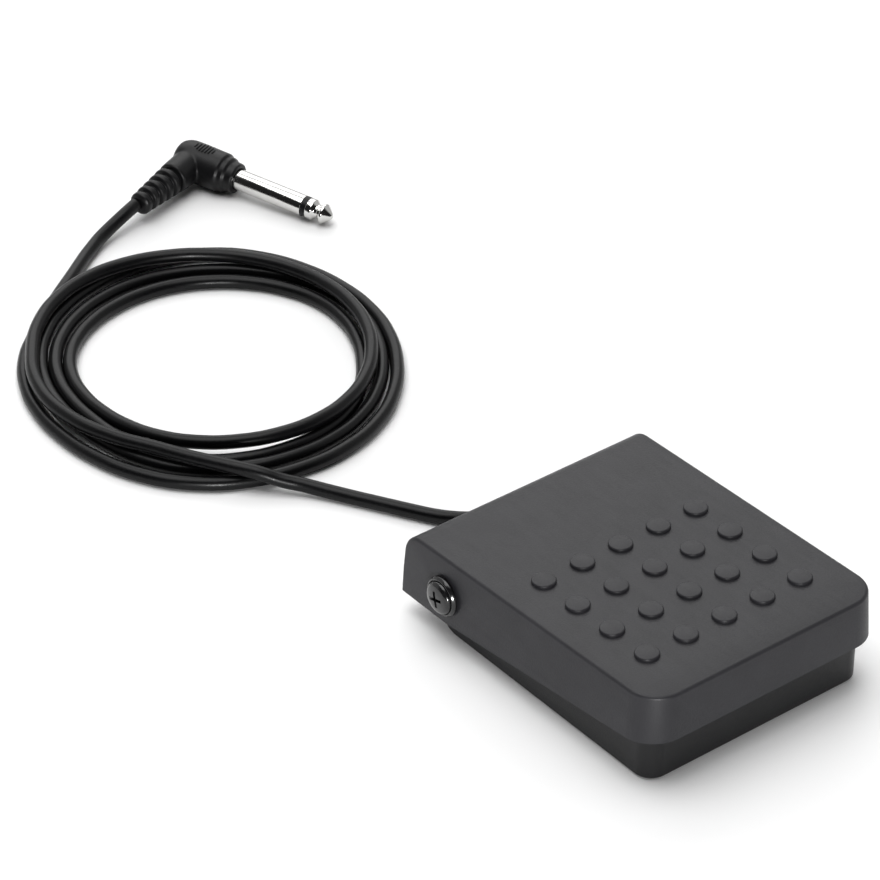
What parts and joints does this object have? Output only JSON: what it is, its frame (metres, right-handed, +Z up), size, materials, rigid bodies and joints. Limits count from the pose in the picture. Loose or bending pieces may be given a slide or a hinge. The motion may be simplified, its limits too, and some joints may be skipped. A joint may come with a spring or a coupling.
{
  "type": "sustain pedal",
  "caption": "Small foot switch with a hinged tread over a tray, round grip studs on the tread, a captive coiled cord and a right-angle jack plug.",
  "frame": {"origin": "on the floor, under the middle of the pedal's own box (tread, tray and pivot screws), without the cord and plug", "axes": "+Z up; the toe end of the tread faces -Y, the cord leaves the tray towards +Y; +X is across the pedal, along the pivot"},
  "size_m": [0.1349, 0.3051, 0.0289],
  "materials": {
    "tread_plastic": "satin, fine moulded grain",
    "tray_plastic": "satin, fine moulded grain",
    "rubber": "matt",
    "black_steel": "gloss black oxide",
    "spring_steel": "satin",
    "brass": "satin",
    "nickel": "polished nickel plate",
    "nylon": "natural, satin",
    "phenolic": "matt laminate",
    "cord_vinyl": "semi-gloss",
    "boot_vinyl": "satin"
  },
  "bodies": {
    "base": {"base_tray": "tray_plastic", "base_mat": "rubber", "pivot_screw_left": "black_steel", "pivot_screw_right": "black_steel", "pivot_washer_left": "black_steel", "pivot_washer_right": "black_steel", "return_spring": "spring_steel", "stop_pad_left": "rubber", "stop_pad_right": "rubber", "switch_spacer_lower": "phenolic", "switch_spacer_middle": "phenolic", "switch_spacer_upper": "phenolic", "fixed_contact": "brass", "blade_root": "brass", "switch_screw_left": "spring_steel", "switch_screw_right": "spring_steel", "cord_gland": "boot_vinyl", "cord_stub": "cord_vinyl", "cord_clamp": "nylon", "clamp_screw_left": "spring_steel", "clamp_screw_right": "spring_steel", "lead_wire_lower": "boot_vinyl", "lead_wire_upper": "nylon", "cord_lead": "cord_vinyl", "cord_coil": "cord_vinyl", "cord_tail": "cord_vinyl", "plug_boot": "boot_vinyl", "plug_sleeve": "nickel", "plug_insulator": "boot_vinyl", "plug_tip": "nickel"},
    "tread": {"tread_shell": "tread_plastic", "pivot_bush_left": "nylon", "pivot_bush_right": "nylon"},
    "contact_arm": {"contact_blade": "brass"}
  },
  "joints": [
    {"name": "tread_hinge", "type": "hinge", "parent": "base", "child": "tread", "pos_m": [0, 0.0312, 0.0146], "axis": [1, 0, 0], "range_deg": [0, 6], "stiffness_Nm_per_rad": 4, "springref_deg": -4.58, "deforming": ["return_spring"]},
    {"name": "blade_hinge", "type": "hinge", "parent": "base", "child": "contact_arm", "pos_m": [0.014, 0.0136, 0.013], "axis": [1, 0, 0], "range_deg": [0, 12]}
  ],
  "couplings": [
    {"joint": "blade_hinge", "follows": "tread_hinge", "ratio": 1.9462}
  ]
}
